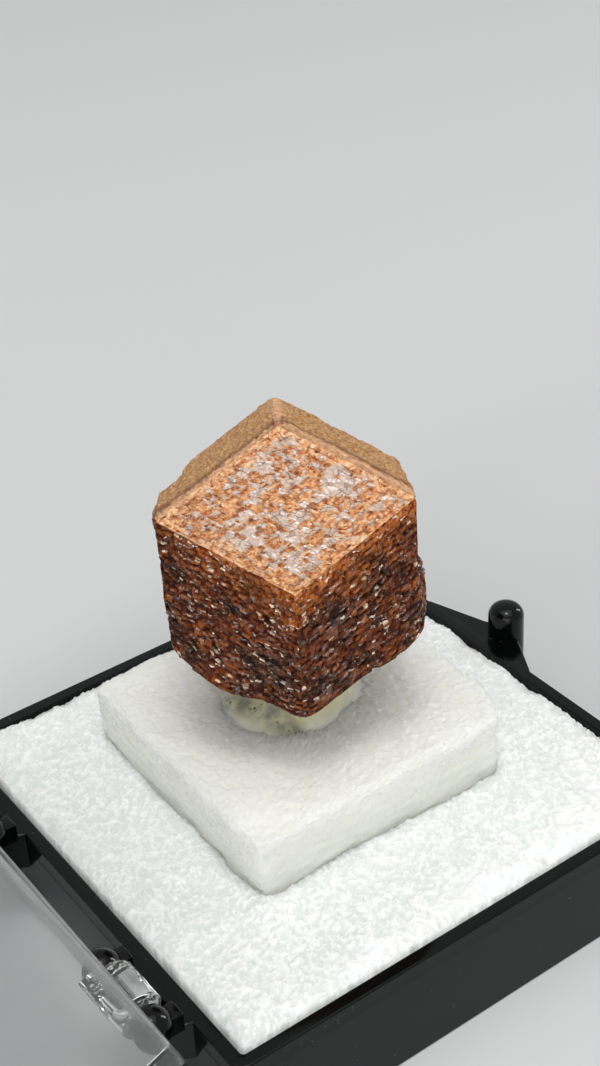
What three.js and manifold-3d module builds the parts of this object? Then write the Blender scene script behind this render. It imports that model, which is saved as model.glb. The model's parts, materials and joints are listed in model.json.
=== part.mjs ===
// A garnet crystal fixed on a foam stand, in the small hinged specimen box that it is kept in.
// Millimetres, +Z up. The origin is the centre of the tray's underside. The hinge is on the -X
// side and the latch on the +X side. The lid is open, and leans on its top edge beside the tray.

import * as THREE from 'three';
import Module from 'manifold-3d';
import { mergeVertices } from 'three/addons/utils/BufferGeometryUtils.js';

const wasm = await Module();
wasm.setup();

// ---- Driving dimensions ----

const gap = 0.3; // between pieces that touch
const overlap = 0.4; // how far joined shapes run into each other
const boxSide = 32;
const cornerRadius = 0.6;

const trayHeight = 6.7;
const trayWall = 0.87;
const trayFloor = 1.2;

const lidWall = 1.45;
const lidBottom = trayHeight + gap;
const lidTop = trayHeight + 25;

const hingeX = -17.9;
const hingeZ = trayHeight + 0.5;
const hingeCentreY = 8.81; // middle of each of the two hinges, either side of the centre line
const ballOffsetY = 2.44; // each ball's distance from its hinge's middle
const ballRadius = 1.12;
const knuckleRadius = 1.3;
const knuckleLength = 2.9;
const knuckleFlat = 1.15; // from the hinge axis to the flat on the knuckle's outer side
const shoulderReach = 1.35; // how far a shoulder stands out from the tray's wall
const shoulderHeight = 2.6;
const shoulderHalfLength = 3.13;
const shoulderChamfer = 0.6;

const postX = 17.6;
const postY = 2.6;
const postRadius = 1.15;
const postTop = trayHeight + 2.1;
const tabRadius = 2.3;
const tabThickness = 1.2;

const linerTop = trayHeight + 0.2;
const riserBottom = linerTop + gap;
const riserTop = trayHeight + 4.1;
const riserBevel = 0.5;

const puttyX = 0.5;
const puttyY = 1.6;
const puttyRadius = 4.6;
const puttyHeight = 2.3;

const crystalCentre = new THREE.Vector3(0.87, 1.98, 20.3);
const crystalTurn = 178.5; // compass turn of the first crystal axis, in degrees

// How far each of the crystal's twelve faces has grown from the centre. A face is named by the
// two crystal axes that it cuts, and on which side of the centre it cuts them.
const faceReach = [
  { cuts: [1, 1, 0], reach: 6.78 },
  { cuts: [1, -1, 0], reach: 6.89 },
  { cuts: [-1, 1, 0], reach: 6.82 },
  { cuts: [-1, -1, 0], reach: 6.96 },
  { cuts: [1, 0, 1], reach: 7.0 },
  { cuts: [1, 0, -1], reach: 7.02 },
  { cuts: [-1, 0, 1], reach: 6.91 },
  { cuts: [-1, 0, -1], reach: 6.99 },
  { cuts: [0, 1, 1], reach: 7.13 },
  { cuts: [0, 1, -1], reach: 7.05 },
  { cuts: [0, -1, 1], reach: 6.97 },
  { cuts: [0, -1, -1], reach: 6.96 },
];

const roundSteps = 24; // sides of a full circle

// ---- Solids: join, cut and place ----

function toSolid(geometry) {
  const bare = geometry.clone();
  bare.deleteAttribute('normal');
  bare.deleteAttribute('uv');
  const merged = mergeVertices(bare, 1e-4);
  const mesh = new wasm.Mesh({
    numProp: 3,
    vertProperties: new Float32Array(merged.attributes.position.array),
    triVerts: new Uint32Array(merged.index.array),
  });
  return new wasm.Manifold(mesh);
}

function toGeometry(solid) {
  const mesh = solid.getMesh();
  const geometry = new THREE.BufferGeometry();
  geometry.setAttribute('position', new THREE.BufferAttribute(mesh.vertProperties, 3));
  geometry.setIndex(new THREE.BufferAttribute(mesh.triVerts, 1));
  return geometry;
}

function joined(solids) {
  return solids.reduce((whole, next) => whole.add(next));
}

function blockSolid(low, high) {
  const size = high.map((value, axis) => value - low[axis]);
  const block = new THREE.BoxGeometry(...size);
  block.translate(...low.map((value, axis) => value + size[axis] / 2));
  return toSolid(block);
}

// A flat outline in X and Y, stood up between two heights.
function prismSolid(shape, bottom, top) {
  const prism = new THREE.ExtrudeGeometry(shape, {
    depth: top - bottom,
    bevelEnabled: false,
    curveSegments: 6,
  });
  prism.translate(0, 0, bottom);
  return toSolid(prism);
}

function outline(points) {
  return new THREE.Shape(points.map(([x, y]) => new THREE.Vector2(x, y)));
}

function roundedSquare(side, radius) {
  const half = side / 2;
  const shape = new THREE.Shape();
  shape.moveTo(half, radius - half);
  shape.absarc(half - radius, half - radius, radius, 0, Math.PI / 2);
  shape.absarc(radius - half, half - radius, radius, Math.PI / 2, Math.PI);
  shape.absarc(radius - half, radius - half, radius, Math.PI, Math.PI * 1.5);
  shape.absarc(half - radius, radius - half, radius, Math.PI * 1.5, Math.PI * 2);
  return shape;
}

function ballSolid(radius, x, y, z) {
  const ball = new THREE.SphereGeometry(radius, roundSteps, roundSteps / 2);
  ball.translate(x, y, z);
  return toSolid(ball);
}

// ---- Tray: floor, walls, hinge shoulders with their balls, latch shoulder and post ----

function hingeBalls(centreY, radius) {
  const places = [centreY - ballOffsetY, centreY + ballOffsetY];
  return places.map((y) => ballSolid(radius, hingeX, y, hingeZ));
}

function hingeShoulder(centreY) {
  const wallX = -boxSide / 2;
  const outerX = wallX - shoulderReach;
  const ends = [centreY - shoulderHalfLength, centreY + shoulderHalfLength];
  const plan = outline([
    [wallX + overlap, ends[0]],
    [wallX, ends[0]],
    [outerX, ends[0] + shoulderChamfer],
    [outerX, ends[1] - shoulderChamfer],
    [wallX, ends[1]],
    [wallX + overlap, ends[1]],
  ].reverse());
  const bar = prismSolid(plan, trayHeight - shoulderHeight, trayHeight);
  const necks = [-ballOffsetY, ballOffsetY].map((offset) => blockSolid(
    [hingeX, centreY + offset - 0.55, trayHeight - overlap],
    [wallX - gap, centreY + offset + 0.55, hingeZ + 0.35],
  ));
  const notchHalf = knuckleLength / 2 + gap;
  const notch = blockSolid(
    [outerX - 1, centreY - notchHalf, hingeZ - knuckleRadius - gap],
    [hingeX + knuckleRadius + gap, centreY + notchHalf, hingeZ + knuckleRadius],
  );
  return joined([bar, ...necks, ...hingeBalls(centreY, ballRadius)]).subtract(notch);
}

function latchPost() {
  const dome = postRadius * 0.75;
  const profile = [new THREE.Vector2(0, trayHeight - shoulderHeight)];
  profile.push(new THREE.Vector2(postRadius, trayHeight - shoulderHeight));
  const domeSteps = 5;
  for (let step = 0; step < domeSteps; step += 1) {
    const turn = (step / domeSteps) * (Math.PI / 2);
    const radius = postRadius * Math.cos(turn) ** 0.8;
    profile.push(new THREE.Vector2(radius, postTop - dome + dome * Math.sin(turn)));
  }
  profile.push(new THREE.Vector2(0, postTop));
  const post = new THREE.LatheGeometry(profile, roundSteps);
  post.rotateX(Math.PI / 2);
  post.translate(postX, postY, 0);
  return toSolid(post);
}

function latchShoulder() {
  const wallX = boxSide / 2;
  const plan = outline([
    [wallX - overlap, -1.5],
    [wallX, -1.5],
    [postX, postY - postRadius],
    [postX, postY + postRadius],
    [wallX + 1.3, postY + 1.7],
    [wallX, 8.4],
    [wallX - overlap, 8.4],
  ]);
  return prismSolid(plan, trayHeight - shoulderHeight, trayHeight);
}

function traySolid() {
  const shell = prismSolid(roundedSquare(boxSide, cornerRadius), 0, trayHeight);
  const hollow = prismSolid(
    roundedSquare(boxSide - 2 * trayWall, cornerRadius / 2),
    trayFloor,
    trayHeight + 1,
  );
  const fittings = [
    hingeShoulder(-hingeCentreY),
    hingeShoulder(hingeCentreY),
    latchShoulder(),
    latchPost(),
  ];
  return joined([shell.subtract(hollow), ...fittings]);
}

// ---- Lid, built closed: walls and top, hinge knuckles, latch tab ----

function lidKnuckle(centreY) {
  const barrel = new THREE.CylinderGeometry(
    knuckleRadius,
    knuckleRadius,
    knuckleLength,
    roundSteps,
  );
  barrel.translate(hingeX, centreY, hingeZ);
  const half = knuckleLength / 2;
  const web = blockSolid(
    [hingeX + 0.6, centreY - half, lidBottom],
    [-boxSide / 2 + overlap, centreY + half, lidBottom + 1.5],
  );
  const flatCut = blockSolid(
    [hingeX - knuckleRadius - 1, centreY - half - 1, hingeZ - knuckleRadius - 1],
    [hingeX - knuckleFlat, centreY + half + 1, hingeZ + knuckleRadius + 1],
  );
  const sockets = joined(hingeBalls(centreY, ballRadius + gap));
  return toSolid(barrel).add(web).subtract(flatCut).subtract(sockets);
}

function latchTab() {
  const plan = new THREE.Shape();
  plan.moveTo(boxSide / 2 - overlap, postY - tabRadius);
  plan.lineTo(postX, postY - tabRadius);
  plan.absarc(postX, postY, tabRadius, -Math.PI / 2, Math.PI / 2);
  plan.lineTo(boxSide / 2 - overlap, postY + tabRadius);
  const tab = prismSolid(plan, lidBottom, lidBottom + tabThickness);
  const hole = new THREE.CylinderGeometry(
    postRadius + gap,
    postRadius + gap,
    tabThickness * 3,
    roundSteps,
  );
  hole.rotateX(Math.PI / 2);
  hole.translate(postX, postY, lidBottom);
  return tab.subtract(toSolid(hole));
}

function lidSolid() {
  const shell = prismSolid(roundedSquare(boxSide, cornerRadius), lidBottom, lidTop);
  const hollow = prismSolid(
    roundedSquare(boxSide - 2 * lidWall, cornerRadius / 2),
    lidBottom - 1,
    lidTop - lidWall,
  );
  const fittings = [lidKnuckle(-hingeCentreY), lidKnuckle(hingeCentreY), latchTab()];
  return joined([shell, ...fittings]).subtract(hollow);
}

// The angle from closed at which the lid's hinge-side top edge comes down to the table.
function restingAngle() {
  const wallOut = -boxSide / 2 - hingeX;
  const wallUp = lidTop - hingeZ;
  const reach = Math.hypot(wallOut, wallUp);
  return Math.PI - Math.asin(-hingeZ / reach) - Math.atan2(wallUp, wallOut);
}

// ---- Foam liner, foam riser, putty and crystal ----

function linerSolid() {
  const side = boxSide - 2 * (trayWall + gap);
  return prismSolid(roundedSquare(side, cornerRadius / 2), trayFloor + gap, linerTop);
}

function riserGeometry() {
  const plan = outline([
    [-8.6, -7.5],
    [8.2, -7.5],
    [9.8, -4.6],
    [9.8, 10.4],
    [-8.2, 10.4],
  ]);
  const block = new THREE.ExtrudeGeometry(plan, {
    depth: riserTop - riserBottom - riserBevel,
    bevelEnabled: true,
    bevelThickness: riserBevel,
    bevelSize: riserBevel,
    bevelOffset: -riserBevel,
    bevelSegments: 1,
  });
  block.translate(0, 0, riserBottom);
  const lowCut = blockSolid([-20, -20, 0], [20, 20, riserBottom]);
  return toSolid(block).subtract(lowCut);
}

function faceNormal(cuts) {
  const lean = Math.acos(1 / Math.sqrt(3)); // each crystal axis leans this far from upright
  const normal = new THREE.Vector3();
  cuts.forEach((side, axis) => {
    const turn = THREE.MathUtils.degToRad(crystalTurn + 120 * axis);
    const along = new THREE.Vector3(
      Math.sin(lean) * Math.cos(turn),
      Math.sin(lean) * Math.sin(turn),
      Math.cos(lean),
    );
    normal.addScaledVector(along, side);
  });
  return normal.normalize();
}

// The crystal stands on a three-faced corner: a block trimmed by its twelve faces. A margin
// moves every face outwards, for the hollow that the crystal presses into the putty.
function crystalSolid(margin) {
  const blank = 40;
  const start = new THREE.BoxGeometry(blank, blank, blank);
  start.translate(...crystalCentre.toArray());
  return faceReach.reduce((solid, { cuts, reach }) => {
    const normal = faceNormal(cuts);
    const trim = new THREE.BoxGeometry(3 * blank, 3 * blank, blank);
    const facing = new THREE.Quaternion();
    facing.setFromUnitVectors(new THREE.Vector3(0, 0, 1), normal);
    trim.translate(0, 0, blank / 2 + reach + margin);
    trim.applyQuaternion(facing);
    trim.translate(...crystalCentre.toArray());
    return solid.subtract(toSolid(trim));
  }, toSolid(start));
}

function puttySolid() {
  const bottom = riserTop + gap;
  const steps = 6;
  const profile = [new THREE.Vector2(0, bottom), new THREE.Vector2(puttyRadius, bottom)];
  for (let step = 0; step < steps; step += 1) {
    const turn = (step / steps) * (Math.PI / 2);
    const rise = 0.25 + (puttyHeight - 0.25) * Math.sin(turn);
    profile.push(new THREE.Vector2(puttyRadius * Math.cos(turn), bottom + rise));
  }
  profile.push(new THREE.Vector2(0, bottom + puttyHeight));
  const dome = new THREE.LatheGeometry(profile, roundSteps);
  dome.rotateX(Math.PI / 2);
  dome.translate(puttyX, puttyY, 0);
  return toSolid(dome).subtract(crystalSolid(gap));
}

// ---- The assembly ----

const glossBlack = new THREE.MeshStandardMaterial({ color: 0x08090a, roughness: 0.12 });
const clearPlastic = new THREE.MeshStandardMaterial({
  color: 0xdde3e4,
  roughness: 0.06,
  transparent: true,
  opacity: 0.35,
});
const whiteFoam = new THREE.MeshStandardMaterial({ color: 0xe6ebe6, roughness: 0.85 });
const riserFoam = new THREE.MeshStandardMaterial({ color: 0xe2e6de, roughness: 0.8 });
const paleWax = new THREE.MeshStandardMaterial({ color: 0xdcdcae, roughness: 0.5 });
const brownGarnet = new THREE.MeshStandardMaterial({ color: 0x8a4d28, roughness: 0.45 });

function piece(name, solid, material) {
  const mesh = new THREE.Mesh(toGeometry(solid), material);
  mesh.name = name;
  return mesh;
}

const specimenBox = new THREE.Group();
specimenBox.add(
  piece('base_tray', traySolid(), glossBlack),
  piece('foam_liner', linerSolid(), whiteFoam),
  piece('foam_riser', riserGeometry(), riserFoam),
  piece('mounting_putty', puttySolid(), paleWax),
  piece('garnet_crystal', crystalSolid(0), brownGarnet),
);

const hinge = new THREE.Group();
hinge.position.set(hingeX, 0, hingeZ);
hinge.rotation.y = -restingAngle();
const lid = piece('lid', lidSolid(), clearPlastic);
lid.position.set(-hingeX, 0, -hingeZ);
hinge.add(lid);
specimenBox.add(hinge);

export default specimenBox;
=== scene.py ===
import functools
import json
import math

import bmesh
import bpy
import numpy as np
from mathutils import Matrix, Quaternion, Vector


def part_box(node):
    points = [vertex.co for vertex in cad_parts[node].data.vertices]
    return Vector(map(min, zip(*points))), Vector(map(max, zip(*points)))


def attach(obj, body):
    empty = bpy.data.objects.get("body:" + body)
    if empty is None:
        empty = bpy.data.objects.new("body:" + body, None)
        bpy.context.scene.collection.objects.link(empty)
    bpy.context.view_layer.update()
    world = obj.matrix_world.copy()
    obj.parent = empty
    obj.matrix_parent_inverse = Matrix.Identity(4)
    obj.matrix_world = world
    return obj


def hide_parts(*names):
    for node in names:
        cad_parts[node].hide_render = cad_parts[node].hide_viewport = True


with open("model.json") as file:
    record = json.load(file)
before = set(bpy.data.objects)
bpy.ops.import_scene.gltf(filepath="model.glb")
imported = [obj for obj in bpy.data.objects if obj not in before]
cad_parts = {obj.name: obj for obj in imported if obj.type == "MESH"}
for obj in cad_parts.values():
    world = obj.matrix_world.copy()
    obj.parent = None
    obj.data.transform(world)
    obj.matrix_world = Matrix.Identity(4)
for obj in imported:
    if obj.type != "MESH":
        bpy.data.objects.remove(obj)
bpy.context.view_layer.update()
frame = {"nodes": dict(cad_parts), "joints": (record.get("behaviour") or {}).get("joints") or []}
mm = 0.001
print("frame loaded:", ", ".join(sorted(frame["nodes"])))


# Small tools: colour, nodes, meshes and repeatable noise

def linear(hexColour):
    # an sRGB hex colour as the linear colour that a shader takes
    channels = [int(hexColour[at:at + 2], 16) / 255 for at in (0, 2, 4)]
    return [c / 12.92 if c <= 0.04045 else ((c + 0.055) / 1.055) ** 2.4 for c in channels] + [1.0]


# settings that many nodes share
mixColour = {"data_type": "RGBA"}
darken = {"data_type": "RGBA", "blend_type": "MULTIPLY"}
times = {"operation": "MULTIPLY"}
timesPlus = {"operation": "MULTIPLY_ADD"}


def addNode(tree, kind, settings=None, inputs=None, stops=None):
    # an input is a value, an sRGB hex colour, a socket, or a node that gives its first output
    # in use
    node = tree.nodes.new("ShaderNode" + kind)
    for name, value in (settings or {}).items():
        setattr(node, name, value)
    for key, value in (inputs or {}).items():
        if isinstance(value, str):
            value = linear(value)
        if isinstance(value, bpy.types.Node):
            value = next(socket for socket in value.outputs if socket.enabled)
        if isinstance(value, bpy.types.NodeSocket):
            tree.links.new(value, node.inputs[key])
        else:
            node.inputs[key].default_value = value
    if stops:
        marks = node.color_ramp.elements
        while len(marks) < len(stops):
            marks.new(0.5)
        for mark, (place, colour) in zip(marks, stops):
            mark.position = place
            mark.color = linear(colour)
    return node


def newMaterial(name):
    material = bpy.data.materials.new(name)
    material.use_nodes = True
    tree = material.node_tree
    tree.nodes.clear()
    return material, functools.partial(addNode, tree)


def newPiece(name, points, faces, material=None, smooth=False):
    mesh = bpy.data.meshes.new(name)
    mesh.from_pydata(np.asarray(points).tolist(), [], faces)
    mesh.polygons.foreach_set("use_smooth", [smooth] * len(mesh.polygons))
    if material:
        mesh.materials.append(material)
    piece = bpy.data.objects.new(name, mesh)
    bpy.context.scene.collection.objects.link(piece)
    return piece


def addValues(piece, name, values):
    attribute = piece.data.attributes.new(name, "FLOAT", "POINT")
    attribute.data.foreach_set("value", np.asarray(values, np.float32))


def hashed(places, seed):
    # an even spread from 0 to 1 for whole-number places, the same on every run
    mixed = places @ np.array([374761393, 668265263, 2147483647]) + seed * 1274126177
    mixed = mixed & 0xFFFFFFFF
    mixed = ((mixed ^ (mixed >> 13)) * 1274126177) & 0xFFFFFFFF
    return ((mixed ^ (mixed >> 16)) & 0xFFFFFF) / 0xFFFFFF


def lumps(points, size, seed):
    # rounded swells about size across, from 0 to 1
    scaled = points / size
    base = np.floor(scaled).astype(np.int64)
    part = scaled - base
    part = part * part * (3 - 2 * part)
    total = np.zeros(len(points))
    for corner in range(8):
        step = np.array([(corner >> axis) & 1 for axis in range(3)])
        total += np.prod(np.where(step, part, 1 - part), axis=1) * hashed(base + step, seed)
    return total


def eased(values, low, high):
    part = np.clip((values - low) / (high - low), 0, 1)
    return part * part * (3 - 2 * part)


# The camera: a close view that looks down on the box at about 33 degrees

cameraView = {
    "aim": (2.73, 3.38, 20.3),  # mm, a point just behind the crystal's middle
    "azimuth": -33.66,
    "elevation": 33.31,
    "roll": -4.02,
    "distance": 100.1,  # mm
    "lens": 59.64,  # mm
}


def placeCamera():
    azimuth = math.radians(cameraView["azimuth"])
    elevation = math.radians(cameraView["elevation"])
    back = Vector((
        math.sin(azimuth) * math.cos(elevation),
        -math.cos(azimuth) * math.cos(elevation),
        math.sin(elevation),
    ))
    data = bpy.data.cameras.new("camera")
    data.lens = cameraView["lens"]
    data.clip_start = 5 * mm
    data.clip_end = 20
    camera = bpy.data.objects.new("camera", data)
    bpy.context.scene.collection.objects.link(camera)
    facing = (-back).to_track_quat("-Z", "Y")
    roll = Quaternion((0, 0, 1), math.radians(cameraView["roll"]))
    camera.rotation_mode = "QUATERNION"
    camera.rotation_quaternion = facing @ roll
    camera.location = (Vector(cameraView["aim"]) + back * cameraView["distance"]) * mm
    bpy.context.scene.camera = camera


placeCamera()
print("camera placed")


# The crystal: a rhombic dodecahedron read off the twelve faces of the CAD solid, with its edges
# worn round and its faces etched into a mosaic of small blocks and terraces

crystalLook = {
    "cellsPerEdge": 90,
    "edgeSharpness": 64,  # the higher, the crisper the edges
    "wornSharpness": 24,  # the same at the worn lower corners
    "swell": 0.10,  # mm, slow unevenness of the whole skin
    "chip": 0.22,  # mm, depth of the nicks along the edges
    "chipReach": (0.05, 0.4),  # mm from an edge, between which the nicks run out
    "stria": 0.06,  # mm, depth of the fine lines beside the edges
    "striaReach": (0.4, 1.3),  # the same for the fine lines
    "plateauReach": (0.6, 1.3),  # the same for the grown face, which is etched away by the edges
    "wornHeights": (-0.8, -0.2),  # the corners that are worn, as the upward part of their direction
    "glowDepth": (0.5, 2.6),  # mm under the upper faces, between which their painted glow runs out
    "ridgeHighlightWidth": (0.2, 0.75),  # mm, the ridges between the upper faces, with a painted highlight and some wear from rubbing
    "shadeBandWidth": (0.6, 1.7),  # mm, the dark strip of painted shade behind the crown
    "bulges": (  # direction from the centre, spread, and height in mm
        ((0.64, -0.73, -0.20), 0.38, 0.62),
        ((0.70, -0.71, 0.0), 0.18, 0.25),
        ((0.30, -0.86, -0.40), 0.42, 0.5),
        ((-0.46, 0.80, 0.38), 0.3, -0.6),  # a worn corner
        ((-0.82, 0.2, 0.53), 0.18, 0.2),
        ((-0.81, -0.29, -0.51), 0.36, 0.5),
        ((-0.85, 0.01, -0.52), 0.32, 0.42),
        ((-0.66, -0.26, -0.71), 0.40, 0.40),
        ((-0.45, -0.46, -0.77), 0.28, 0.25),
    ),
    "crown": {  # the upper face towards -Y: patches of the grown face among shallow pits
        "plateaus": 0.5,  # share of the grown face that etching has left
        "step": 0.055,  # mm, one terrace
        "terraces": 3,
        "slow": ((1.7, 0.20), (0.7, 0.20)),  # mm across and weight
        "bricks": ((0.62, 0.31, 0.26), (0.31, 0.62, 0.26), (0.28, 0.19, 0.24)),
        "lean": 0.12,  # slope of a brick's top
        "fade": 0.14,  # mm, how far from an edge the etching reaches its full depth
    },
    "frosted": {  # the two upper faces behind it: even and matt, with fine steps
        "plateaus": 0.0,
        "step": 0.02,
        "terraces": 3,
        "slow": ((1.7, 0.34), (0.7, 0.22)),
        "bricks": ((1.6, 0.12, 0.40), (0.7, 0.19, 0.20)),
        "lean": 0.10,
        "fade": 0.3,
    },
    "side": {  # the upright and lower faces: long uneven steps, each leaning its own way
        "plateaus": 0.2,
        "step": 0.045,
        "terraces": 4,
        "slow": ((1.5, 0.26), (0.6, 0.18)),
        "bricks": ((0.47, 0.19, 0.30), (0.28, 0.19, 0.26), (0.19, 0.38, 0.16)),
        "lean": 0.24,
        "fade": 0.16,
    },
}


def crystalPlanes():
    mesh = frame["nodes"]["garnet_crystal"].data
    planes = []
    for face in sorted(mesh.polygons, key=lambda polygon: -polygon.area):
        corner = mesh.vertices[face.vertices[0]].co
        if all(face.normal.dot(normal) < 0.99 for normal, reach in planes):
            planes.append((face.normal.copy(), face.normal.dot(corner) / mm))
    normals = np.array([list(normal) for normal, reach in planes[:12]])
    offsets = np.array([reach for normal, reach in planes[:12]])
    # one centre and one mean reach fit all twelve faces best
    unknown = np.linalg.lstsq(np.column_stack([normals, np.ones(12)]), offsets, rcond=None)[0]
    return normals, offsets - normals @ unknown[:3], unknown[:3], unknown[3]


def crystalAxes(normals):
    # each axis is where two faces at right angles to each other meet
    axes = []
    for first in range(12):
        for other in range(first):
            between = normals[first] + normals[other]
            length = np.linalg.norm(between)
            if abs(length - math.sqrt(2)) < 0.02 and between[2] > 0:
                axis = between / length
                if all(axis @ known < 0.9 for known in axes):
                    axes.append(axis)
    return sorted(axes, key=lambda axis: math.atan2(axis[1], axis[0]))


def bricks(along, across, longSide, shortSide, seed):
    # one number for each brick of a wall with uneven courses, and the slope of its top
    course = np.floor(across / shortSide)
    slide = hashed(np.stack([course, course * 0, course * 0], 1).astype(np.int64), seed) * 7
    place = np.floor(along / longSide + slide)
    flat = np.stack([place, course, course * 0], 1).astype(np.int64)
    onLong = (along / longSide + slide - place - 0.5) * longSide
    onShort = (across / shortSide - course - 0.5) * shortSide
    slope = (hashed(flat, seed + 2) - 0.5) * onLong + (hashed(flat, seed + 3) - 0.5) * onShort
    return hashed(flat, seed + 1), slope * 2


def blurred(field, reach):
    # the mean of a square of neighbours on the face's grid
    side = int(round(math.sqrt(len(field))))
    padded = np.pad(field.reshape(side, side), reach, mode="edge")
    width = 2 * reach + 1
    total = sum(padded[i:i + side, j:j + side] for i in range(width) for j in range(width))
    return (total / width ** 2).ravel()


def etch(look, along, across, margin, seed):
    # for each point of a face: depth under the grown face in mm, how much of the grown face is
    # left, how far it stands above or below its neighbours, and its own brick's number
    flat = np.stack([along, across, along * 0], 1)
    level = sum(weight * lumps(flat, size, seed + at)
                for at, (size, weight) in enumerate(look["slow"]))
    lean = np.zeros(len(along))
    for at, (longSide, shortSide, weight) in enumerate(look["bricks"]):
        own, slope = bricks(along, across, longSide, shortSide, seed + 5 + 5 * at)
        level += weight * own
        lean += slope * look["lean"]
        tint = own if at == 0 else tint
    order = np.argsort(np.argsort(level)) / len(level)  # 0 for the deepest place, 1 for the top
    kept = 1 - look["plateaus"]
    plateau = (order > kept).astype(float)
    below = np.clip((kept - order) / kept, 0, 1)
    terrace = np.ceil(below * look["terraces"]) * look["step"]
    grain = (lumps(flat, 0.13, seed + 30) - 0.5) * 0.045
    depth = terrace + (grain + lean) * (1 - 0.85 * plateau)
    relief = (blurred(depth, 2) - depth) / look["step"]
    plateau *= eased(margin + lumps(flat, 0.6, seed + 31), *crystalLook["plateauReach"])
    return depth, plateau, relief, tint


def faceEdges(normal, axes, corner):
    # a face's first corner, and its two edges from there
    lean = [axis @ normal for axis in axes]
    third = min(range(3), key=lambda at: abs(lean[at]))
    first, second = [at for at in range(3) if at != third]
    start = axes[first] * math.copysign(corner, lean[first])
    middle = axes[second] * math.copysign(corner, lean[second])
    rise = axes[third] * corner
    edgeA = (middle - start + rise) / 2
    edgeB = (middle - start - rise) / 2
    if abs(edgeA[2]) > abs(edgeB[2]) + 0.1:  # blocks run along the edge that is less upright
        edgeA, edgeB = edgeB, edgeA
    return start, edgeA, edgeB


def roundedSkin(directions, normals, reaches, axes):
    # the twelve faces with their edges rounded, rounder where a lower corner is worn: one
    # point for each direction from the centre
    signs = [(i, j, k) for i in (1, -1) for j in (1, -1) for k in (1, -1)]
    corners = [sign * axis for axis in axes for sign in (1, -1)]
    corners += [sum(sign * axis for sign, axis in zip(signed, axes)) / math.sqrt(3)
                for signed in signs]
    wear = np.zeros(len(directions))
    lowest, highest = crystalLook["wornHeights"]
    for place in corners:
        if lowest < place[2] < highest:
            wear = np.maximum(wear, eased(directions @ place, 0.9, 1.0))
    sharpness = crystalLook["edgeSharpness"] * (1 - wear) + crystalLook["wornSharpness"] * wear
    facing = np.clip(directions @ (normals / reaches[:, None]).T, 1e-6, None)
    peak = facing.max(axis=1)
    share = ((facing / peak[:, None]) ** sharpness[:, None]).sum(axis=1)
    radius = share ** (-1 / sharpness) / peak
    return directions * radius[:, None]


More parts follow.
